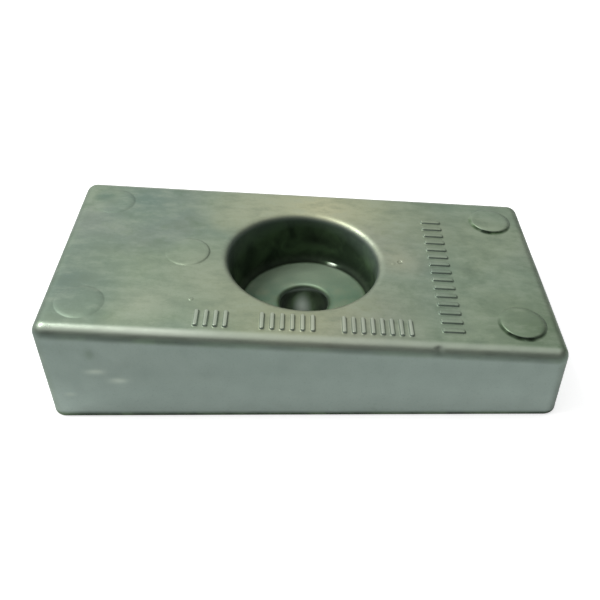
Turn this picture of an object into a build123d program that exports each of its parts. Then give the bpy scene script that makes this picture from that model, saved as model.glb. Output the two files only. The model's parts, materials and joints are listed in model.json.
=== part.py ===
# Bolt-on sacrificial anode: one zinc die casting.
#
# A wedge-shaped block lies with its flat mounting face on the metal that it
# protects.  One bolt goes through it, from a deep round recess in the sloping
# top, so that the bolt's head stays below the surface as the zinc wastes away.
# The round pads on the top are the marks that the ejector pins leave.
#
# Frame: millimetres, +Z up.  The origin is the centre of the mounting face, on
# the bolt's axis.  X runs along the block, and the thick end is at -X.

from build123d import *
import math
import os

# ---------------------------------------------------------------- sizes
# Block, measured on the mounting face
block_length = 102.0
block_width = 52.0
corner_radius = 3.0
thick_end = 23.9  # height of the sloping top above the end at -X
thin_end = 16.4  # height of the sloping top above the end at +X
side_draft = 1.0  # degrees that the sides lean in towards the top
edge_radius = 2.5  # round between the sides and the top

# Bolt recess and bolt hole, both square to the mounting face
seat_thickness = 8.1  # metal between the bolt's head and the mounting face
recess_diameter = 30.6  # at the seat
recess_draft = 2.0  # degrees that the recess opens towards the top
recess_foot_radius = 1.6
recess_rim_radius = 1.8
bolt_hole_diameter = 10.5
hole_mouth_radius = 1.0

# Ejector-pin pads on the top
pad_diameter = 9.2
pad_edge_break = 0.15
pad_end_inset = 8.2  # centre of a corner pad to the end of the block
pad_side_inset = 8.7  # centre of a corner pad to the long side of the block
middle_pad_offset = 24.2  # bolt's axis to the pad beside the recess
thin_end_pad_height = 0.5
thick_end_pad_height = 0.3
middle_pad_height = 0.25

# ---------------------------------------------------------------- derived
stock_height = max(thick_end, thin_end)
middle_height = (thick_end + thin_end) / 2
slope = math.degrees(math.atan2(thick_end - thin_end, block_length))
recess_spread = math.tan(math.radians(recess_draft)) * (stock_height - seat_thickness)
pad_x = block_length / 2 - pad_end_inset
pad_y = block_width / 2 - pad_side_inset

# The sloping top, with its own X running down from the thick end
top = Plane.XY.offset(middle_height).rotated((0, slope, 0))

# Each pad: its place as seen from above, and its height on the sloping top
pads = (
    (-pad_x, pad_y, thick_end_pad_height),
    (-pad_x, -pad_y, thick_end_pad_height),
    (pad_x, pad_y, thin_end_pad_height),
    (pad_x, -pad_y, thin_end_pad_height),
    (-middle_pad_offset, 0, middle_pad_height),
)

# ---------------------------------------------------------------- casting
with BuildPart() as anode:
    # Block with drafted sides, cut off by the sloping top
    with BuildSketch():
        RectangleRounded(block_length, block_width, corner_radius)
    extrude(amount=stock_height, taper=side_draft)
    split(bisect_by=top, keep=Keep.BOTTOM)
    top_face = anode.faces().sort_by(Axis.Z)[-1]
    fillet(top_face.edges(), edge_radius)

    # Recess for the bolt's head, opening towards the top
    with BuildSketch(Plane.XZ):
        with BuildLine():
            Polyline(
                (0, seat_thickness),
                (recess_diameter / 2, seat_thickness),
                (recess_diameter / 2 + recess_spread, stock_height),
                (0, stock_height),
                close=True,
            )
        make_face()
    revolve(axis=Axis.Z, mode=Mode.SUBTRACT)
    recess_foot = anode.edges(Select.LAST).filter_by(GeomType.CIRCLE)
    fillet(recess_foot, recess_foot_radius)
    recess_rim = anode.edges().filter_by(GeomType.ELLIPSE)
    fillet(recess_rim, recess_rim_radius)

    # Bolt hole through the seat
    with Locations((0, 0, seat_thickness)):
        Hole(bolt_hole_diameter / 2)
    hole_mouth = anode.edges(Select.LAST).filter_by(GeomType.CIRCLE).sort_by(Axis.Z)[-1]
    fillet(hole_mouth, hole_mouth_radius)

    # Ejector-pin pads
    for x, y, height in pads:
        distance_down_slope = x / math.cos(math.radians(slope))
        with BuildSketch(top):
            with Locations((distance_down_slope, y)):
                Circle(pad_diameter / 2)
        extrude(amount=height)
        pad_rim = anode.edges(Select.LAST).filter_by(GeomType.CIRCLE).sort_by(Axis.Z)[-1]
        chamfer(pad_rim, pad_edge_break)

anode.part.label = "anode"
os.makedirs("parts", exist_ok=True)
export_step(anode.part, "parts/anode.step")
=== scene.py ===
"""Looks of the sacrificial anode: one zinc die casting on a plain pale floor.

The casting is one closed mesh. Rings of points follow the sides, the edge round, the recess and the
bolt hole, and two triangulated faces, the sloping top and the underside, close it. The ejector pads,
the plain raised marks and the specks are part of the top. Each point also carries how worn the skin is
there, with painted highlights, and how dirty, with painted shade and shadow, and the material reads both.

Lengths are in metres unless a comment says millimetres, in the frame's axes: X runs from the thick end
to the thin end, and Z points away from the mounting face. The front, at -Y, is the side towards the
camera.
"""

import json
import math

import bpy
from mathutils import Matrix, Vector, noise
from mathutils.geometry import delaunay_2d_cdt

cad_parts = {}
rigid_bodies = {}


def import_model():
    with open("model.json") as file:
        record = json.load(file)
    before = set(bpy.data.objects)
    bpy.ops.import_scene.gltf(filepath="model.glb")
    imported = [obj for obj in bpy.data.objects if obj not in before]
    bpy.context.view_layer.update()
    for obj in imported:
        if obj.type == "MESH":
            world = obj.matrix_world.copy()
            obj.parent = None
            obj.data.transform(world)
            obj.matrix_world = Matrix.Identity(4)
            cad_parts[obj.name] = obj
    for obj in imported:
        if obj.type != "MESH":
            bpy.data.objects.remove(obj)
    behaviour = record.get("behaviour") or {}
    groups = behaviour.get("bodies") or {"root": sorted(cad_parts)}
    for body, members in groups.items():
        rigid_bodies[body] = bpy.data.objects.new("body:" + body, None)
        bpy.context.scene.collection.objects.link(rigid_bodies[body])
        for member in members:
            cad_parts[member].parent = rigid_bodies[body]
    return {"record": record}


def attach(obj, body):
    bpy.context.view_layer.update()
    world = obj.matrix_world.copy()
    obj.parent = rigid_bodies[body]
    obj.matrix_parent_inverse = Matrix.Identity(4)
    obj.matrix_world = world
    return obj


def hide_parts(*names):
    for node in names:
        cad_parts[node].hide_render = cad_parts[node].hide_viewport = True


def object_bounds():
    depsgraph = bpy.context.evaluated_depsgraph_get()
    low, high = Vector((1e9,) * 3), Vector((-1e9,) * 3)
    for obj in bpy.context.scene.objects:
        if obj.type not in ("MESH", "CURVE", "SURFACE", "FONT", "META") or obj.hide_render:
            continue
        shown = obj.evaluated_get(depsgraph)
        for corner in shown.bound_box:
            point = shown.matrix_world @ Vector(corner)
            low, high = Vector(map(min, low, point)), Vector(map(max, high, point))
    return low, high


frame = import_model()
cad_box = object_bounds()

MM = 0.001

# ---------------------------------------------------------------- sizes
mounts = {mount["name"]: mount for mount in frame["record"]["mounts"]}
HALF_LENGTH = cad_box[1].x
HALF_WIDTH = cad_box[1].y
BOLT_RADIUS = mounts["bolt_hole"]["dims"]["r_mm"] * MM
SEAT_HEIGHT = mounts["bolt_seat"]["pos_m"][2]

THICK_END = 23.9 * MM
THIN_END = 16.4 * MM
CORNER_RADIUS = 3.0 * MM
EDGE_RADIUS = 2.5 * MM
FOOT_BREAK = 0.4 * MM  # round where the sides and the hole meet the mounting face
SIDE_LEAN = math.tan(math.radians(1.0))
MIDDLE_HEIGHT = (THICK_END + THIN_END) / 2
SLOPE = (THICK_END - THIN_END) / (2 * HALF_LENGTH)

RECESS_RADIUS = 15.3 * MM
RECESS_LEAN = math.tan(math.radians(2.0))
RECESS_RIM = 1.8 * MM
RECESS_FOOT = 1.6 * MM
MOUTH_RADIUS = 1.0 * MM

PAD_RADIUS = 4.6 * MM
PAD_X = HALF_LENGTH - 8.2 * MM
PAD_Y = HALF_WIDTH - 8.7 * MM
MIDDLE_PAD_X = -24.2 * MM

# Height of the pads: those at the thick end and beside the recess are worn down
THIN_END_PADS = 0.5 * MM
THICK_END_PADS = 0.18 * MM
MIDDLE_PAD = 0.17 * MM

# ---------------------------------------------------------------- fineness of the mesh
LONG_STEPS, SHORT_STEPS, CORNER_STEPS = 190, 98, 12
BREAK_STEPS, SIDE_STEPS, EDGE_STEPS = 3, 46, 10
RECESS_STEPS = 288
RIM_STEPS, WALL_STEPS, FOOT_STEPS, SEAT_STEPS, MOUTH_STEPS, HOLE_STEPS = 12, 14, 8, 14, 8, 10
TOP_SPACING = 0.8 * MM
UNDERSIDE_SPACING = 2.0 * MM
PAD_POINTS_PER_MM, PAD_LEAST_POINTS = 16, 16
BAR_CORNER_STEPS = 4

# The triangulation's kind of output, only what is inside the loops, and its tolerance in millimetres
INSIDE_LOOPS, MERGE_DISTANCE = 1, 1e-6

# Room round the loose points of a flat face, in shares of their spacing
OUTER_ROOM, INNER_ROOM = 0.7, 0.6
OFF_FLANK, ON_FLANK = 0.4, 0.3  # on the low and the high side of a relief's flank
FACE_CORNER = 1.0 * MM  # corner radius of the region they fill

# Rings of points down the recess and the hole, counted from the top
RIM_END = RIM_STEPS
FOOT_END = RIM_END + WALL_STEPS + FOOT_STEPS
MOUTH_START = FOOT_END + SEAT_STEPS
MOUTH_END = MOUTH_START + MOUTH_STEPS - 1

# ---------------------------------------------------------------- flanks of the pads and marks
RELIEF_FOOT = 0.14 * MM  # how far a flank reaches outside the relief's outline
RELIEF_ROUND = 0.16 * MM  # how far it reaches inside, on a crisp relief
RELIEF_APRON = 0.1 * MM  # level band round the flank
SHADED_APRON = 0.7 * MM  # the same on the side with painted shade, of a pad with painted shade at its foot
FLANK_TOP = 4  # the flank's first loop on its upper part, above the painted shade
FLAT_WEAR_AND_HIGHLIGHT = 0.6  # wear and painted highlight of a relief's flat, as a share of its upper flank's
# The painted shade at a relief's foot falls towards the front left, ragged in clumps of this size and depth
SHADED_SIDE = Vector((-0.35, -1.0)).normalized()
SHADE_CLUMP_SIZE, CLUMP_DEPTH = 1.3 * MM, 0.7

# ---------------------------------------------------------------- wear and painted highlight, dirt and painted shade: 0 is none and 1 is full
# Wear and painted highlight of the rings counted down from the top, on the long sides
EDGE_WEAR_AND_HIGHLIGHT = (0.0, 0.3, 0.8, 1.0, 1.0, 0.8, 0.4, 0.1)
# Painted shade on the same rings: a dark band under the edge's highlight on the long sides, and a dark
# outline round the ends
UNDER_EDGE_SHADE = (0.0, 0.0, 0.0, 0.0, 0.0, 0.0, 0.0, 0.25, 0.4, 0.35, 0.15)
END_EDGE_SHADE = (0.0, 0.05, 0.1, 0.18, 0.25, 0.3, 0.35, 0.35, 0.35, 0.3, 0.2, 0.1)
# Painted contact shadow on the rings counted up from the underside
FOOT_SHADOW = (1.0, 1.0, 1.0, 1.0, 0.8, 0.3)
CORNER_DARKNESS = 0.35
# The painted highlight on the long edges is brightest here, and the painted dark band under it darkest: X and
# reach, in millimetres, and the extra painted highlight and painted shade
BRIGHT_EDGE = (-27, 11)
BRIGHT_EDGE_HIGHLIGHT, BRIGHT_EDGE_SHADE = 0.9, 0.5

# Places round the recess: (middle, reach) in degrees, counted from the thin end towards the back
# PALE_WALL and GREY_WALL are where the painted shade on the wall is lighter, the pale one as its lit side;
# BLOT is a painted dark reflection
PALE_WALL = (20, 40)
GREY_WALL = (150, 40)
BLOT = (81, 15)
# GLINT is a painted highlight, FAR_LIP painted light on the hole's far lip, and HOLE_SHEEN a painted
# reflection down the hole
GLINT = (63, 6)
FAR_SIDE = (90, 50)
FAR_LIP = (90, 60)
HOLE_SHEEN = (95, 26)

# Places down the recess, in rings: (middle, reach), a middle alone, or where something starts
RIM_SHINE = (4, 5)
BLOT_DEPTH = (19.5, 3)
DARKENING_START = RIM_END - 5
WALL_DEEP = RIM_END + 10
GLINT_START = FOOT_END - 3
LIP_DEPTH = (MOUTH_END, 2)
SHEEN_DEPTH = MOUTH_END + 9

# Wear and painted highlight, and dirt and painted shade, at those places. Dirt and painted shade above 1 are
# deeper in tone
# The rim's wear with a painted highlight, and the painted glint
RIM_WEAR_AND_HIGHLIGHT, GLINT_HIGHLIGHT = 0.1, 1.5
# Painted shade in the crease at the seat's edge, in the hole's mouth and down the hole, and the seat a touch
# darker
BLOT_DARK_REFLECTION, SEAT_EDGE_SHADE, SEAT_DARKENING, MOUTH_SHADE, HOLE_SHADE = 0.8, 0.8, 0.05, 0.85, 1.5
# Rings over which the dirt and painted shade on the wall darken, and how many more on its pale and its grey
# stretch, where the painted shade is lighter
FADE, PALE_FADE, GREY_FADE = 7, 6, 5
# The painted dark line in the hole's mouth: its ring and reach, and how they change on the far side
MOUTH_LINE, MOUTH_REACH = MOUTH_START + 3, 3
FAR_LOWER, FAR_NARROWER = 1.8, 0.5

# ---------------------------------------------------------------- shallow waves and dents, in millimetres
LONG_WAVE, LONG_WAVE_LENGTH = 0.03, 14
SHORT_WAVE, SHORT_WAVE_LENGTH = 0.008, 3.5
WAVE_SHIFT = Vector((40.0, 12.0, 7.0))  # takes the short waves from another part of the noise
CALM_HEIGHT, CALM_SHARE = 1, 0.3  # the waves are weaker this close to the mounting face
DENT_FACING = 0.5  # how much a point has to face the front to be dented
DENT_END = 3  # a dent ends this many times its size from its middle

# ---------------------------------------------------------------- tones, as display values of 0 to 255
GREEN_METAL, YELLOW_METAL = (127, 147, 128), (145, 160, 136)
GREY_DRIFT = (137, 147, 140)
DARK_MOTTLE = (116, 134, 112)
DARK_STREAK, PALE_STREAK = (112, 128, 110), (166, 178, 158)
DARK_GRAIN = (104, 118, 104)
DARK_SIDE, PALE_SIDE = (131, 147, 139), (136, 150, 142)
THIN_END_SIDE = (141, 156, 148)
# Painted light towards the foot of the sides
LOW_SIDE = (160, 175, 167)
GREEN_SEAT, YELLOW_SEAT = (120, 148, 124), (134, 150, 124)
# Painted light on the seat's far edge
FAR_SEAT = (192, 214, 186)
# Bare metal, which also paints highlights, then dirt, which also paints shade, and its deepest tone
BARE_METAL_AND_HIGHLIGHT = (192, 202, 186)
DARK_DIRT_AND_SHADE, PALE_DIRT_AND_SHADE = (56, 72, 54), (92, 114, 84)
DEEP_DIRT_AND_SHADE = (34, 44, 32)
FLOOR_GREY = (238, 238, 238)

# What full wear and painted highlight, and full dirt and painted shade, do to the metal
WEAR_AND_HIGHLIGHT_SHARE = 0.55
WEAR_POLISH, DIRT_ROUGHNESS = 0.14, 0.15

# Soft stains on the top: (centre in millimetres, reach in millimetres, strength, tone)
STAINS = (
    ((4, 20, 20), 24, 1.0, (188, 190, 156)),
    ((-12, 18, 21), 13, 0.7, (170, 177, 150)),
    ((-36, 19, 22), 12, 0.8, (112, 136, 126)),
    ((-19, -8, 21), 14, 0.8, (158, 168, 144)),
    ((-31, -17, 22), 8, 0.7, (166, 175, 152)),
    ((2, -21, 20), 25, 0.8, (167, 171, 140)),
    ((-47, -11, 23), 16, 1.0, (114, 132, 121)),
    ((20, 1, 18), 7, 0.9, (164, 170, 146)),
    ((45, -19, 17), 14, 0.8, (112, 131, 104)),
    ((28, 12, 18), 13, 0.8, (148, 160, 136)),
    ((-45, 19, 23), 3, 0.7, (96, 122, 112)),
)

# ---------------------------------------------------------------- camera, floor and room
SENSOR_WIDTH, LENS = 36.0, 44.339  # millimetres
CAMERA_PLACE = Vector((1.049, -123.652, 115.202)) * MM
CAMERA_AZIMUTH, CAMERA_ELEVATION, CAMERA_ROLL = 0.88, 40.83, -0.89  # degrees

FLOOR_REACH = 6.0
FLOOR_DROP = 0.02 * MM
FLOOR_LIFT = 0.6  # glow that the camera sees on the floor
FLOOR_SHINE = 0.18  # glow that reflections see on it

ROOM_DARK, ROOM_BRIGHT = 0.04, 0.8
ROOM_BACK, ROOM_LEFT = 0.4, 0.25  # how far the bright part of the room leans that way
ROOM_LOW, ROOM_HIGH = 0.3, 0.7  # heights where the room starts to brighten and is brightest


def add_camera():
    """The photograph's viewpoint, fitted to the block's outline, front edge and pads."""
    data = bpy.data.cameras.new("camera")
    data.sensor_width = SENSOR_WIDTH
    data.lens = LENS
    data.clip_start, data.clip_end = 0.01, 20.0
    camera = bpy.data.objects.new("camera", data)
    azimuth, elevation = math.radians(CAMERA_AZIMUTH), math.radians(CAMERA_ELEVATION)
    level = math.cos(elevation)
    back = Vector((math.sin(azimuth) * level, -math.cos(azimuth) * level, math.sin(elevation)))
    turn = (-back).to_track_quat("-Z", "Y").to_matrix().to_4x4()
    roll = Matrix.Rotation(math.radians(CAMERA_ROLL), 4, "Z")
    camera.matrix_world = Matrix.Translation(CAMERA_PLACE) @ turn @ roll
    bpy.context.scene.collection.objects.link(camera)
    bpy.context.scene.camera = camera


# ---------------------------------------------------------------- sections
def top_height(x):
    """Height of the sloping top above the mounting face."""
    return MIDDLE_HEIGHT - SLOPE * x


def arc(centre, radius, start, end, steps):
    """Points of an arc in a section, both ends included."""
    turns = [start + (end - start) * i / steps for i in range(steps + 1)]
    return [(centre[0] + radius * math.cos(a), centre[1] + radius * math.sin(a)) for a in turns]


def straight(start, end, steps):
    """Points between two ends of a section, neither end included."""
    shares = [i / steps for i in range(1, steps)]
    return [tuple(a + (b - a) * t for a, b in zip(start, end)) for t in shares]


def outline():
    """The mounting face's outline: (x, y, outward normal) round the rounded rectangle."""
    points = []
    long_side = HALF_LENGTH - CORNER_RADIUS
    short_side = HALF_WIDTH - CORNER_RADIUS
    corners = (
        (long_side, -short_side, -90, 2 * short_side, SHORT_STEPS),
        (long_side, short_side, 0, 2 * long_side, LONG_STEPS),
        (-long_side, short_side, 90, 2 * short_side, SHORT_STEPS),
        (-long_side, -short_side, 180, 2 * long_side, LONG_STEPS),
    )
    for x, y, start, run, steps in corners:
        for i in range(CORNER_STEPS):
            turn = math.radians(start + 90 * i / CORNER_STEPS)
            normal = (math.cos(turn), math.sin(turn))
            points.append((x + CORNER_RADIUS * normal[0], y + CORNER_RADIUS * normal[1], normal))
        turn = math.radians(start + 90)
        normal = (math.cos(turn), math.sin(turn))
        first = (x + CORNER_RADIUS * normal[0], y + CORNER_RADIUS * normal[1])
        for i in range(steps):
            reach = run * i / steps
            points.append((first[0] - normal[1] * reach, first[1] + normal[0] * reach, normal))
    return points


def side_section(height, rise):
    """From the underside to the top: (inset, z), where the top is at height and climbs inwards by rise."""
    flat = math.sqrt(1 + rise * rise)
    lean = math.sqrt(1 + SIDE_LEAN * SIDE_LEAN)
    inset = (SIDE_LEAN * (height - EDGE_RADIUS * flat) + EDGE_RADIUS * lean) / (1 - SIDE_LEAN * rise)
    centre = (inset, height + rise * inset - EDGE_RADIUS * flat)
    start, end = math.pi - math.atan(SIDE_LEAN), math.pi / 2 + math.atan(rise)
    foot = arc((FOOT_BREAK, FOOT_BREAK), FOOT_BREAK, -math.pi / 2, -math.pi, BREAK_STEPS)
    edge = arc(centre, EDGE_RADIUS, start, end, EDGE_STEPS)
    return foot + straight(foot[-1], edge[0], SIDE_STEPS) + edge


def recess_section(rise):
    """From the top down through the bolt hole: (radius, z), where the top climbs outwards by rise."""
    flat = math.sqrt(1 + rise * rise)
    lean = math.sqrt(1 + RECESS_LEAN * RECESS_LEAN)
    fall = MIDDLE_HEIGHT - RECESS_RIM * flat - SEAT_HEIGHT
    radius = (RECESS_RADIUS + fall * RECESS_LEAN + RECESS_RIM * lean) / (1 - rise * RECESS_LEAN)
    centre = (radius, MIDDLE_HEIGHT + rise * radius - RECESS_RIM * flat)
    start, end = math.pi / 2 + math.atan(rise), math.pi - math.atan(RECESS_LEAN)
    rim = arc(centre, RECESS_RIM, start, end, RIM_STEPS)
    foot_centre = (RECESS_RADIUS + RECESS_FOOT * (RECESS_LEAN - lean), SEAT_HEIGHT + RECESS_FOOT)
    foot = arc(foot_centre, RECESS_FOOT, -math.atan(RECESS_LEAN), -math.pi / 2, FOOT_STEPS)
    mouth_centre = (BOLT_RADIUS + MOUTH_RADIUS, SEAT_HEIGHT - MOUTH_RADIUS)
    mouth = arc(mouth_centre, MOUTH_RADIUS, math.pi / 2, math.pi, MOUTH_STEPS)
    break_centre = (BOLT_RADIUS + FOOT_BREAK, FOOT_BREAK)
    way_out = arc(break_centre, FOOT_BREAK, math.pi, 3 * math.pi / 2, BREAK_STEPS)
    wall = straight(rim[-1], foot[0], WALL_STEPS)
    seat = straight(foot[-1], mouth[0], SEAT_STEPS)
    hole = straight(mouth[-1], way_out[0], HOLE_STEPS)
    return rim + wall + foot + seat + mouth + hole + way_out


# ---------------------------------------------------------------- reliefs on the top
def shaded(x, y):
    """How much painted shade lies at the foot of a relief: most towards the front left, none behind."""
    return max(0.0, Vector((x, y)).normalized().dot(SHADED_SIDE))


class Pad:
    """A round flat relief, whose left edge is flush with the top if its tilt is 1.

    Its flank is wider by the factor soft, and behind by the factor back too.
    """

    wear_and_highlight = 0.0

    def __init__(self, x, y, radius, height, foot_shade=0.0, soft=1.0, apron=RELIEF_APRON, tilt=0.0, back=1.0):
        self.x, self.y, self.radius, self.height = x, y, radius, height
        self.foot_shade, self.soft, self.apron, self.tilt, self.back = foot_shade, soft, apron, tilt, back

    def lift(self, x):
        """How far the relief's flat stands above the top."""
        return self.height * (1 + self.tilt * (x - self.x) / self.radius)

    def loop(self, grow):
        """Points round the outline, moved outwards by grow: past the plain apron, only on the side with
        painted shade.
        """
        steps = max(PAD_LEAST_POINTS, round(self.radius / MM * PAD_POINTS_PER_MM))
        points = []
        for i in range(steps):
            x, y = math.cos(2 * math.pi * i / steps), math.sin(2 * math.pi * i / steps)
            apron = max(0.0, grow - RELIEF_FOOT - RELIEF_APRON) * shaded(x, y)
            behind = 1 + (self.back - 1) * (1 - shaded(x, y)) if grow < 0 else 1.0
            radius = self.radius + min(grow, RELIEF_FOOT + RELIEF_APRON) * behind + apron
            points.append((self.x + radius * x, self.y + radius * y))
        return points

    def distance(self, x, y):
        """How far a place is outside the outline, and negative inside it."""
        return math.hypot(x - self.x, y - self.y) - self.radius


class Bar:
    """A rectangular flat relief with round corners."""

    foot_shade = 0.0
    soft = back = 1.0
    apron = RELIEF_APRON

    def __init__(self, x, y, size_x, size_y, corner, height, wear_and_highlight):
        self.x, self.y, self.height, self.wear_and_highlight = x, y, height, wear_and_highlight
        self.half_x, self.half_y, self.corner = size_x / 2, size_y / 2, corner

    def lift(self, x):
        return self.height

    def loop(self, grow):
        """Points round the outline, moved outwards by grow."""
        half_x, half_y, radius = self.half_x + grow, self.half_y + grow, self.corner + grow
        points = []
        for sign_x, sign_y, start in ((1, -1, -90), (1, 1, 0), (-1, 1, 90), (-1, -1, 180)):
            for i in range(BAR_CORNER_STEPS + 1):
                turn = math.radians(start + 90 * i / BAR_CORNER_STEPS)
                x = self.x + sign_x * (half_x - radius) + radius * math.cos(turn)
                y = self.y + sign_y * (half_y - radius) + radius * math.sin(turn)
                points.append((x, y))
        return points

    def distance(self, x, y):
        dx = abs(x - self.x) - self.half_x + self.corner
        dy = abs(y - self.y) - self.half_y + self.corner
        return math.hypot(max(dx, 0), max(dy, 0)) + min(max(dx, dy), 0) - self.corner


def pads():
    """The marks of the ejector pins: one near each corner and one beside the recess."""
    # The crisp pads carry a dark painted shade at their front foot
    crisp = {"foot_shade": 1.6, "apron": SHADED_APRON, "tilt": 0.2, "back": 8}
    return [
        Pad(-PAD_X, PAD_Y, PAD_RADIUS, THICK_END_PADS, foot_shade=0.15, soft=10, tilt=0.9),
        Pad(-PAD_X, -PAD_Y, PAD_RADIUS, THICK_END_PADS, soft=10, tilt=0.3),
        Pad(PAD_X, PAD_Y, PAD_RADIUS, THIN_END_PADS, **crisp),
        Pad(PAD_X, -PAD_Y, PAD_RADIUS, THIN_END_PADS, **crisp),
        Pad(MIDDLE_PAD_X, 0, PAD_RADIUS, MIDDLE_PAD, soft=3, tilt=0.9),
    ]


def specks():
    """A pit and two beads of metal that the die left on the top."""
    return [
        # The pit has painted shade on its front-left side
        Pad(20.5 * MM, 0.3 * MM, radius=0.5 * MM, height=-0.12 * MM, foot_shade=0.8),
        Pad(19.0 * MM, -0.4 * MM, radius=0.4 * MM, height=0.06 * MM),
        Pad(-21.8 * MM, -15.0 * MM, radius=0.45 * MM, height=0.1 * MM),
    ]


def front_marks():
    """Three groups of plain upright ribs along the front edge, from start to end in millimetres."""
    marks = []
    row_y = -20.4 * MM
    size = {"size_x": 0.9 * MM, "size_y": 4.6 * MM, "corner": 0.4 * MM, "height": 0.45 * MM}
    for start, end, count in ((-21.2, -13.8, 4), (-8.8, 2.8, 6), (6.9, 21.5, 8)):
        pitch = (end - start) / count
        for i in range(count):
            x = (start + pitch * (i + 0.5)) * MM
            # The front ribs are worn bright on top, partly as a painted highlight
            marks.append(Bar(x, row_y, wear_and_highlight=0.9, **size))
    return marks


def side_marks():
    """A column of shallow ribs beside the recess, towards the thin end."""
    marks = []
    column_x = 28.8 * MM
    size = {"size_x": 4.4 * MM, "size_y": 1.2 * MM, "corner": 0.4 * MM, "height": 0.4 * MM}
    count, first_y, run = 15, -20.6, 36.0  # millimetres
    for i in range(count):
        y = (first_y + run * i / (count - 1)) * MM
        marks.append(Bar(column_x, y, wear_and_highlight=0.1, **size))
    return marks


def flank(relief):
    """Loops up a relief's flank, from its apron to its flat: (growth of the outline, share of the height)."""
    top = RELIEF_ROUND * relief.soft
    return (
        (RELIEF_FOOT + relief.apron, 0.0),
        (RELIEF_FOOT, 0.0),
        (RELIEF_FOOT * 0.35, 0.13),
        (-top * 0.1, 0.45),
        (-top * 0.45, 0.86),
        (-top, 1.0),
    )


def foot_shade_at(relief, x, y):
    """Painted shade at the foot of a relief, with a ragged edge."""
    clumps = 1 + CLUMP_DEPTH * noise.noise(Vector((x, y, 0)) / SHADE_CLUMP_SIZE)
    return relief.foot_shade * shaded(x - relief.x, y - relief.y) * clumps


# ---------------------------------------------------------------- mesh
class Skin:
    """Vertices and faces of the closed mesh, with the wear and painted highlight, and the dirt and painted
    shade, of each vertex.
    """

    def __init__(self):
        self.points = []
        self.faces = []
        self.wear_and_highlight = []
        self.dirt_and_shade = []

    def add(self, points, wear_and_highlight, dirt_and_shade):
        """New vertices, with the wear and painted highlight, and the dirt and painted shade, of each."""
        first = len(self.points)
        self.points += [Vector(p) for p in points]
        self.wear_and_highlight += wear_and_highlight
        self.dirt_and_shade += dirt_and_shade
        return list(range(first, len(self.points)))

    def bridge(self, low, high):
        """Quads between two closed rings with as many points."""
        count = len(low)
        for i in range(count):
            j = (i + 1) % count
            self.faces.append((low[i], low[j], high[j], high[i]))


class Plate:
    """A flat region between two rings of a skin, with reliefs on it, which closes the skin with triangles."""

    def __init__(self, skin, outer, inner, reliefs, height):
        self.skin, self.outer, self.inner, self.reliefs, self.height = skin, outer, inner, reliefs, height
        self.ids, self.flat, self.edges = [], [], []
        self.add_loop(outer)
        self.add_loop(inner)
        for relief in reliefs:
            self.add_relief(relief)

    def add_loop(self, indices):
        """A closed line of vertices that no triangle may cross."""
        first = len(self.flat)
        count = len(indices)
        self.ids.extend(indices)
        self.flat.extend(self.skin.points[i].xy / MM for i in indices)
        self.edges.extend((first + i, first + (i + 1) % count) for i in range(count))

    def add_relief(self, relief):
        for step, (grow, share) in enumerate(flank(relief)):
            ring = [(x, y, self.height(x) + relief.lift(x) * share) for x, y in relief.loop(grow)]
            on_foot = 0 < step < FLANK_TOP
            wear_and_highlight = relief.wear_and_highlight if step >= FLANK_TOP else 0.0
            # Painted shade on the lower flank
            dirt_and_shade = [foot_shade_at(relief, x, y) if on_foot else 0.0 for x, y, _ in ring]
            self.add_loop(self.skin.add(ring, [wear_and_highlight] * len(ring), dirt_and_shade))

    def nearest(self, x, y):
        """The distance to the nearest relief's outline, negative inside it, and that relief."""
        gaps = ((relief.distance(x, y), relief) for relief in self.reliefs)
        return min(gaps, key=lambda gap: gap[0], default=(1.0, None))

    def fill(self, spacing):
        """Loose points in staggered rows, clear of the two rings and of the reliefs' flanks."""
        limit_x = max(self.skin.points[i].x for i in self.outer) - spacing * OUTER_ROOM
        limit_y = max(self.skin.points[i].y for i in self.outer) - spacing * OUTER_ROOM
        hole = max(self.skin.points[i].xy.length for i in self.inner) + spacing * INNER_ROOM
        row_step = spacing * math.sqrt(3) / 2
        rows = int(limit_y / row_step)
        columns = int(limit_x / spacing)
        for row in range(-rows, rows + 1):
            for column in range(-columns, columns + 1):
                x = (column + row % 2 / 2) * spacing
                y = row * row_step
                past_x = max(abs(x) - limit_x + FACE_CORNER, 0)
                past_y = max(abs(y) - limit_y + FACE_CORNER, 0)
                if math.hypot(past_x, past_y) <= FACE_CORNER and math.hypot(x, y) >= hole:
                    self.add_loose(x, y, spacing)

    def add_loose(self, x, y, spacing):
        """One loose point, unless it would lie on a relief's flank."""
        gap, relief = self.nearest(x, y)
        lift = wear_and_highlight = 0.0
        if relief:
            inner_reach = RELIEF_ROUND * relief.soft * relief.back + spacing * ON_FLANK
            outer_reach = RELIEF_FOOT + relief.apron + spacing * OFF_FLANK
            if -inner_reach < gap < outer_reach:
                return
            if gap < 0:
                lift, wear_and_highlight = relief.lift(x), relief.wear_and_highlight * FLAT_WEAR_AND_HIGHLIGHT
        self.ids += self.skin.add([(x, y, self.height(x) + lift)], [wear_and_highlight], [0.0])
        self.flat.append(Vector((x, y)) / MM)

    def close(self, upward):
        """Triangles over the region, but not over the inner ring's hole."""
        result = delaunay_2d_cdt(self.flat, self.edges, [], INSIDE_LOOPS, MERGE_DISTANCE)
        found, _, triangles, origin, _, _ = result
        names = [self.ids[first[0]] for first in origin]
        inner_ids = set(self.inner)
        for triangle in triangles:
            face = [names[i] for i in triangle]
            if inner_ids.issuperset(face):
                continue
            a, b, c = (found[i] for i in triangle)
            turns_left = (b - a).cross(c - a) > 0
            self.skin.faces.append(face if turns_left == upward else face[::-1])


def ring_value(values, ring):
    """The value that a table gives a ring, and 0 past its end."""
    return values[ring] if ring < len(values) else 0.0


def bright_edge(x):
    """1 where the painted highlight on the long edges is brightest and the painted dark band under them
    darkest, towards the thick end.
    """
    middle, reach = BRIGHT_EDGE
    return math.exp(-(((x / MM - middle) / reach) ** 2))


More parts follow.
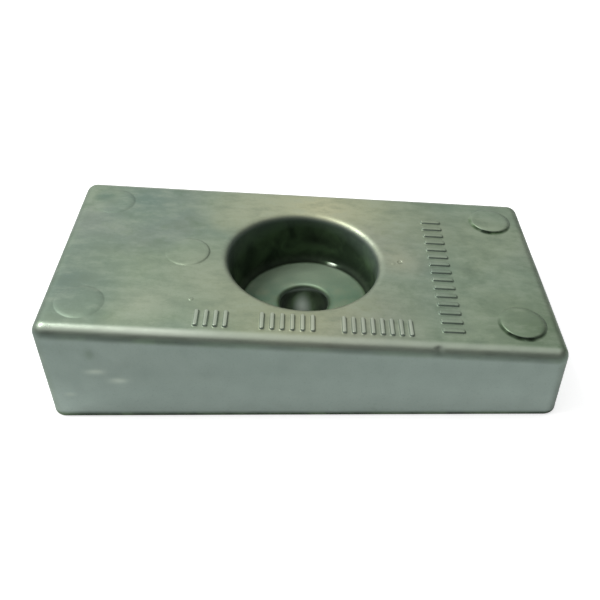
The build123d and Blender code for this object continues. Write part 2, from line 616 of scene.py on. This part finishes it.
def corner_darkening(normal):
    """Slightly darker on the upright corners."""
    return CORNER_DARKNESS * (2 * abs(normal[0] * normal[1])) ** 2


def side_rings(skin):
    """The rings of the block's sides, from the underside to the top."""
    border = outline()
    sections = [side_section(top_height(x), SLOPE * normal[0]) for x, y, normal in border]
    levels = len(sections[0])
    rings = []
    for level in range(levels):
        from_top = levels - 1 - level
        ring_wear_and_highlight = ring_value(EDGE_WEAR_AND_HIGHLIGHT, from_top)
        ring_contact_shadow = ring_value(FOOT_SHADOW, level)
        ring_end_shade = ring_value(END_EDGE_SHADE, from_top)
        ring_under_edge_shade = ring_value(UNDER_EDGE_SHADE, from_top)
        ring, wear_and_highlight, dirt_and_shade = [], [], []
        for (x, y, normal), section in zip(border, sections):
            inset, z = section[level]
            ring.append((x - normal[0] * inset, y - normal[1] * inset, z))
            # Wear on the long edges, with a painted highlight along them, brightest towards the thick end
            wear_and_highlight.append(ring_wear_and_highlight * normal[1] ** 2 * (1 + BRIGHT_EDGE_HIGHLIGHT * bright_edge(x)))
            # Painted shade: a dark band under the long edges' highlight, and a dark outline on the ends
            under_edge = ring_under_edge_shade * normal[1] ** 2 * (1 + BRIGHT_EDGE_SHADE * bright_edge(x))
            on_corner = corner_darkening(normal) * (1 - ring_wear_and_highlight)
            # The darkest counts of the painted contact shadow, the painted shade on the ends and under the
            # edge, and the darker corners
            dirt_and_shade.append(max(ring_contact_shadow, ring_end_shade * normal[0] ** 2, under_edge, on_corner))
        rings.append(skin.add(ring, wear_and_highlight, dirt_and_shade))
    return rings


def recess_rings(skin):
    """The rings of the recess and the bolt hole, from the top to the underside."""
    turns = [2 * math.pi * i / RECESS_STEPS for i in range(RECESS_STEPS)]
    sections = [recess_section(-SLOPE * math.cos(turn)) for turn in turns]
    rings = []
    for level in range(len(sections[0])):
        ring = []
        for turn, section in zip(turns, sections):
            radius, z = section[level]
            ring.append((radius * math.cos(turn), radius * math.sin(turn), z))
        wear_and_highlight = [recess_highlight_and_wear(level, turn) for turn in turns]
        dirt_and_shade = [recess_shade_and_dirt(level, turn) for turn in turns]
        rings.append(skin.add(ring, wear_and_highlight, dirt_and_shade))
    return rings


def near(turn, middle, reach):
    """1 at the middle of a stretch of the recess's turn, falling away over the reach, in degrees."""
    away = (math.degrees(turn) - middle + 180) % 360 - 180
    return math.exp(-((away / reach) ** 2))


def near_level(level, middle, reach):
    """The same down the recess, in rings."""
    return math.exp(-(((level - middle) / reach) ** 2))


def hole_reflection(level, turn, reach, lip):
    """Painted reflection in the hole: a stripe down its far wall, and painted light on its far lip with the
    strength lip.
    """
    stripe = near(turn, *HOLE_SHEEN) * near_level(level, SHEEN_DEPTH, reach)
    return max(stripe, lip * near(turn, *FAR_LIP) * near_level(level, *LIP_DEPTH))


def recess_highlight_and_wear(level, turn):
    """Bright on the rim's round, as wear with a painted highlight, with a painted glint at the seat's far
    edge and a painted reflection in the hole.
    """
    if level < RIM_END:
        middle, reach = RIM_SHINE
        return RIM_WEAR_AND_HIGHLIGHT * max(0.0, 1 - abs(level - middle) / reach)
    if GLINT_START <= level <= FOOT_END:
        return GLINT_HIGHLIGHT * near(turn, *GLINT)
    if level < MOUTH_END:
        return 0.0
    return hole_reflection(level, turn, reach=6, lip=0.6)


def wall_dirt_and_shade(level, turn):
    """Dirt and painted shade: clean at the rim, dark down the wall and darkest at its foot but for the glint,
    with a painted dark reflection as a blot on the far side.
    """
    fade = FADE + PALE_FADE * near(turn, *PALE_WALL) + GREY_FADE * near(turn, *GREY_WALL)
    deep = max(0.0, (level - WALL_DEEP) / (FOOT_END - WALL_DEEP))
    blot = BLOT_DARK_REFLECTION * near(turn, *BLOT) * near_level(level, *BLOT_DEPTH)
    dirt_and_shade = min(1.0, max(0.0, (level - DARKENING_START) / fade)) + deep + blot
    return dirt_and_shade * (1 - near(turn, *GLINT)) if level >= GLINT_START else dirt_and_shade


def recess_shade_and_dirt(level, turn):
    """Dark on the wall with dirt and painted shade, painted shade in the crease at the seat's edge, nearly
    clean on the seat, and painted shade in the hole's mouth and down the hole, lower down on its far side.
    """
    if level < FOOT_END:
        return wall_dirt_and_shade(level, turn)
    if level < MOUTH_START:
        return SEAT_EDGE_SHADE if level == FOOT_END else SEAT_DARKENING
    if level < MOUTH_END:
        far = near(turn, *FAR_SIDE)
        return MOUTH_SHADE * near_level(level, MOUTH_LINE + FAR_LOWER * far, MOUTH_REACH - FAR_NARROWER * far)
    return HOLE_SHADE * (1 - hole_reflection(level, turn, reach=7, lip=1.0))


def build_skin():
    """The whole closed mesh."""
    skin = Skin()
    sides = side_rings(skin)
    recess = recess_rings(skin)
    for low, high in zip(sides, sides[1:]):
        skin.bridge(low, high)
    for high, low in zip(recess, recess[1:]):
        skin.bridge(high, low)

    reliefs = pads() + specks() + front_marks() + side_marks()
    top = Plate(skin, sides[-1], recess[0], reliefs, top_height)
    top.fill(TOP_SPACING)
    top.close(upward=True)
    underside = Plate(skin, sides[0], recess[-1], [], lambda x: 0.0)
    underside.fill(UNDERSIDE_SPACING)
    underside.close(upward=False)
    return skin


class Dent:
    """A shallow hollow in the front side, in millimetres. Bare is how worn it is, with a painted highlight,
    or below 0 how dirty.
    """

    facing = Vector((0, -1, 0))

    def __init__(self, place, size, depth, bare_and_highlight):
        self.place, self.size = Vector(place), Vector(size)
        self.depth, self.bare_and_highlight = depth, bare_and_highlight

    def share_at(self, place, normal):
        if normal.dot(self.facing) < DENT_FACING:
            return 0.0
        away = place - self.place
        reach = sum((a / s) ** 2 for a, s in zip(away, self.size))
        return math.exp(-reach) if reach < DENT_END**2 else 0.0


DENTS = (
    # The first three dents are bare with a painted highlight, and the fourth is dirty
    Dent((-40.0, -25.8, 12.6), (1.6, 1.0, 0.6), depth=0.16, bare_and_highlight=0.8),
    Dent((-35.9, -25.8, 10.2), (1.6, 1.0, 0.7), depth=0.16, bare_and_highlight=0.8),
    Dent((-46.0, -25.9, 6.4), (1.0, 1.0, 0.5), depth=0.12, bare_and_highlight=0.5),
    Dent((-40.2, -25.7, 17.2), (0.8, 1.0, 1.2), depth=0.1, bare_and_highlight=-0.3),
    Dent((25.5, -25.6, 17.4), (0.5, 2.0, 1.5), depth=0.35, bare_and_highlight=0.0),
)


def wave_at(place):
    """How deep the casting's shallow waves are at a place, in millimetres."""
    long_wave = LONG_WAVE * (1 + noise.noise(place / LONG_WAVE_LENGTH))
    short_wave = SHORT_WAVE * (1 + noise.noise(place / SHORT_WAVE_LENGTH + WAVE_SHIFT))
    wave = long_wave + short_wave
    return wave * CALM_SHARE if place.z < CALM_HEIGHT else wave


def roughen(mesh, skin):
    """Sinks the skin a little, by its waves and dents, and marks the dents as bare with a painted highlight,
    or dirty.
    """
    normals = [vertex.normal.copy() for vertex in mesh.vertices]
    for index, (vertex, normal) in enumerate(zip(mesh.vertices, normals)):
        place = vertex.co / MM
        sink = wave_at(place)
        for dent in DENTS:
            share = dent.share_at(place, normal)
            sink += dent.depth * share
            skin.wear_and_highlight[index] = max(skin.wear_and_highlight[index], dent.bare_and_highlight * share)
            skin.dirt_and_shade[index] = max(skin.dirt_and_shade[index], -dent.bare_and_highlight * share)
        vertex.co -= normal * sink * MM


def add_casting():
    """The one piece, which has the shape and the place of the node anode."""
    skin = build_skin()
    mesh = bpy.data.meshes.new("anode_casting")
    mesh.from_pydata(skin.points, [], skin.faces)
    roughen(mesh, skin)
    for name, values in (("wear_and_highlight", skin.wear_and_highlight), ("dirt_and_shade", skin.dirt_and_shade)):
        mesh.attributes.new(name, "FLOAT", "POINT").data.foreach_set("value", values)
    mesh.shade_smooth()
    casting = bpy.data.objects.new("anode_casting", mesh)
    bpy.context.scene.collection.objects.link(casting)
    mesh.materials.append(cast_zinc())
    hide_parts("anode")
    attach(casting, "root")


# ---------------------------------------------------------------- materials
class Graph:
    """A short way to write a node tree."""

    def __init__(self, owner):
        owner.use_nodes = True
        self.tree = owner.node_tree
        self.tree.nodes.clear()

    def add(self, kind, settings=None, **inputs):
        """A node of that kind. An input is a value or another node's output.

        It is named in lower case, or in_0 for the first, in_1 for the second and so on.
        """
        node = self.tree.nodes.new(kind)
        for key, value in (settings or {}).items():
            setattr(node, key, value)
        for key, value in inputs.items():
            self.feed(self.socket(node, key), value)
        return node

    def feed(self, socket, value):
        if isinstance(value, bpy.types.NodeSocket):
            self.tree.links.new(value, socket)
        else:
            socket.default_value = value

    @staticmethod
    def socket(node, key):
        if key.startswith("in_"):
            return node.inputs[int(key[3:])]
        return next(s for s in node.inputs if s.enabled and s.name.lower().replace(" ", "_") == key)

    def noise(self, place, scale, detail=3.0, roughness=0.5, distortion=0.0):
        shape = {"scale": scale, "detail": detail, "roughness": roughness, "distortion": distortion}
        return self.add("ShaderNodeTexNoise", vector=place, **shape).outputs["Fac"]

    def shifted(self, place, **inputs):
        """The place after a shift, given as location, or a stretch, given as scale."""
        return self.add("ShaderNodeMapping", vector=place, **inputs).outputs[0]

    def axes(self, vector):
        return self.add("ShaderNodeSeparateXYZ", vector=vector).outputs

    def math(self, operation, a, b):
        return self.add("ShaderNodeMath", {"operation": operation}, in_0=a, in_1=b).outputs[0]

    def remap(self, value, low, high, to_low=0.0, to_high=1.0):
        """A value from the span low to high, moved to another span and clamped to it."""
        spans = {"from_min": low, "from_max": high, "to_min": to_low, "to_max": to_high}
        return self.add("ShaderNodeMapRange", value=value, **spans).outputs[0]

    def zone(self, place, centre, reach, share, ripple):
        """That share at a centre, and 0 past a reach, both in millimetres, with a rippled edge."""
        apart = self.add(
            "ShaderNodeVectorMath",
            {"operation": "DISTANCE"},
            in_0=place,
            in_1=[c * MM for c in centre],
        ).outputs["Value"]
        apart = self.math("ADD", apart, self.math("MULTIPLY", ripple, 0.8 * reach * MM))
        return self.remap(apart, 0.5 * reach * MM, 1.4 * reach * MM, share, 0.0)

    def mix(self, share, a, b):
        """Colour a, with that share of colour b."""
        node = self.add("ShaderNodeMix", {"data_type": "RGBA"})
        for index, value in ((0, share), (6, a), (7, b)):
            self.feed(node.inputs[index], value)
        return node.outputs[2]


def colour(tone):
    """A linear colour from display values of 0 to 255."""
    channels = [c / 255 for c in tone]
    return [c / 12.92 if c <= 0.04045 else ((c + 0.055) / 1.055) ** 2.4 for c in channels] + [1.0]


def top_tone(graph, place, clouds, mottle):
    """The sloping top: greenish metal with drifts, stains and streaks along the block."""
    drift = graph.noise(graph.shifted(place, location=(3, 1, 2)), scale=28, detail=2)
    streaks = graph.noise(graph.shifted(place, scale=(0.5, 1, 1)), scale=330, detail=4, roughness=0.65)
    tone = graph.mix(graph.remap(clouds, 0.35, 0.65), colour(GREEN_METAL), colour(YELLOW_METAL))
    tone = graph.mix(graph.remap(drift, 0.45, 0.7), tone, colour(GREY_DRIFT))
    tone = graph.mix(graph.remap(mottle, 0.5, 0.75, 0, 0.7), tone, colour(DARK_MOTTLE))
    for centre, reach, share, stain in STAINS:
        tone = graph.mix(graph.zone(place, centre, reach, share, clouds), tone, colour(stain))
    tone = graph.mix(graph.remap(streaks, 0.48, 0.75, 0, 0.5), tone, colour(DARK_STREAK))
    return graph.mix(graph.remap(streaks, 0.5, 0.25, 0, 0.45), tone, colour(PALE_STREAK))


def side_tone(graph, axes, clouds):
    """The sides: plainer and greyer, and paler towards the thin end, and towards the foot with painted light.
    """
    tone = graph.mix(graph.remap(clouds, 0.35, 0.65), colour(DARK_SIDE), colour(PALE_SIDE))
    tone = graph.mix(graph.remap(axes["X"], -45 * MM, 20 * MM), tone, colour(THIN_END_SIDE))
    return graph.mix(graph.remap(axes["Z"], 12 * MM, 0.0), tone, colour(LOW_SIDE))


def seat_tone(graph, axes, mottle):
    """The recess's floor: green, and paler towards its far edge with painted light."""
    tone = graph.mix(graph.remap(mottle, 0.4, 0.65), colour(GREEN_SEAT), colour(YELLOW_SEAT))
    return graph.mix(graph.remap(axes["Y"], 1 * MM, 14 * MM), tone, colour(FAR_SEAT))


def dirt_and_shade_tone(graph, place, tone, dirt_and_shade):
    """The tone under dirt and painted shade, which is blotchy up to 1 and even and deep towards 2."""
    blotches = graph.noise(place, scale=150, detail=3, distortion=0.5)
    dirt_and_shade_colour = graph.mix(graph.remap(blotches, 0.4, 0.62), colour(DARK_DIRT_AND_SHADE), colour(PALE_DIRT_AND_SHADE))
    tone = graph.mix(graph.remap(dirt_and_shade, 0, 1), tone, dirt_and_shade_colour)
    return graph.mix(graph.remap(dirt_and_shade, 1, 2), tone, colour(DEEP_DIRT_AND_SHADE))


def cast_zinc():
    """Dull cast metal that follows the mesh's wear and painted highlight, and its dirt and painted shade."""
    material = bpy.data.materials.new("cast_zinc")
    graph = Graph(material)
    coordinates = graph.add("ShaderNodeTexCoord").outputs
    place = coordinates["Object"]
    axes = graph.axes(place)
    wear_and_highlight = graph.add("ShaderNodeAttribute", {"attribute_name": "wear_and_highlight"}).outputs["Fac"]
    dirt_and_shade = graph.add("ShaderNodeAttribute", {"attribute_name": "dirt_and_shade"}).outputs["Fac"]
    clouds = graph.noise(place, scale=45, detail=3, distortion=0.4)
    mottle = graph.noise(place, scale=240, detail=4, roughness=0.6)
    grain = graph.noise(place, scale=2600, detail=2)

    facing_up = graph.remap(graph.axes(coordinates["Normal"])["Z"], 0.3, 0.8)
    on_seat = graph.math("MULTIPLY", facing_up, graph.remap(axes["Z"], 10 * MM, 12 * MM, 1, 0))
    tone = graph.mix(facing_up, side_tone(graph, axes, clouds), top_tone(graph, place, clouds, mottle))
    tone = graph.mix(on_seat, tone, seat_tone(graph, axes, mottle))
    tone = graph.mix(graph.remap(grain, 0.55, 0.8, 0, 0.2), tone, colour(DARK_GRAIN))
    tone = graph.mix(graph.math("MULTIPLY", wear_and_highlight, WEAR_AND_HIGHLIGHT_SHARE), tone, colour(BARE_METAL_AND_HIGHLIGHT))
    tone = dirt_and_shade_tone(graph, place, tone, dirt_and_shade)

    polish = graph.math("MULTIPLY", graph.math("MINIMUM", wear_and_highlight, 1.0), WEAR_POLISH)
    rough = graph.math("SUBTRACT", graph.remap(mottle, 0.3, 0.75, 0.4, 0.55), polish)
    rough = graph.math("ADD", rough, graph.math("MULTIPLY", dirt_and_shade, DIRT_ROUGHNESS))

    bumps = graph.math("ADD", graph.math("MULTIPLY", mottle, 0.8), graph.math("MULTIPLY", grain, 0.2))
    bump = graph.add("ShaderNodeBump", height=bumps, strength=0.35, distance=0.12 * MM)
    looks = {"base_color": tone, "metallic": 0.75, "roughness": rough, "normal": bump.outputs[0]}
    shader = graph.add("ShaderNodeBsdfPrincipled", **looks)
    graph.add("ShaderNodeOutputMaterial", surface=shader.outputs[0])
    return material


def pale_floor():
    """White to the camera and to reflections, with the casting's soft shadow left on it."""
    material = bpy.data.materials.new("pale_floor")
    graph = Graph(material)
    ray = graph.add("ShaderNodeLightPath").outputs
    mirrored = graph.math("MAXIMUM", ray["Is Glossy Ray"], ray["Is Transmission Ray"])
    lift = graph.math("MULTIPLY", ray["Is Camera Ray"], FLOOR_LIFT)
    shine = graph.math("MULTIPLY", mirrored, FLOOR_SHINE)
    glow = graph.add("ShaderNodeEmission", color=(1, 1, 1, 1), strength=graph.math("ADD", lift, shine))
    matt = graph.add("ShaderNodeBsdfDiffuse", color=colour(FLOOR_GREY))
    both = graph.add("ShaderNodeAddShader", in_0=matt.outputs[0], in_1=glow.outputs[0])
    graph.add("ShaderNodeOutputMaterial", surface=both.outputs[0])
    return material


# ---------------------------------------------------------------- stage
def add_floor():
    """A wide floor, a hair below the mounting face."""
    mesh = bpy.data.meshes.new("floor")
    corners = [(x * FLOOR_REACH, y * FLOOR_REACH, 0) for x, y in ((-1, -1), (1, -1), (1, 1), (-1, 1))]
    mesh.from_pydata(corners, [], [(0, 1, 2, 3)])
    floor = bpy.data.objects.new("floor", mesh)
    bpy.context.scene.collection.objects.link(floor)
    mesh.materials.append(pale_floor())
    floor.location.z = -FLOOR_DROP


def add_world():
    """White to the camera. To everything else it is a dark room, bright overhead and to the back and left."""
    world = bpy.data.worlds.new("studio")
    bpy.context.scene.world = world
    graph = Graph(world)
    ray = graph.add("ShaderNodeLightPath").outputs
    way = graph.axes(graph.add("ShaderNodeTexCoord").outputs["Generated"])
    height = graph.math("ADD", way["Z"], graph.math("MULTIPLY", way["Y"], ROOM_BACK))
    height = graph.math("SUBTRACT", height, graph.math("MULTIPLY", way["X"], ROOM_LEFT))
    room = graph.remap(height, ROOM_LOW, ROOM_HIGH, ROOM_DARK, ROOM_BRIGHT)
    strength = graph.math("MAXIMUM", room, ray["Is Camera Ray"])
    sky = graph.add("ShaderNodeBackground", color=(1, 1, 1, 1), strength=strength)
    graph.add("ShaderNodeOutputWorld", surface=sky.outputs[0])


def add_softbox(name, place, target, size, power):
    """A rectangular lamp at a place, turned towards a target, with its size in metres and power in watts."""
    data = bpy.data.lights.new(name, "AREA")
    data.shape = "RECTANGLE"
    data.size, data.size_y = size
    data.energy = power
    light = bpy.data.objects.new(name, data)
    way = Vector(target) - Vector(place)
    light.location = place
    light.rotation_euler = way.to_track_quat("-Z", "Y").to_euler()
    bpy.context.scene.collection.objects.link(light)


add_camera()
add_casting()
add_floor()
add_world()
add_softbox("key", place=(-0.34, 0.06, 0.5), target=(0, 0, 0.01), size=(0.3, 0.3), power=2.2)
bpy.context.scene.view_settings.view_transform = "Standard"
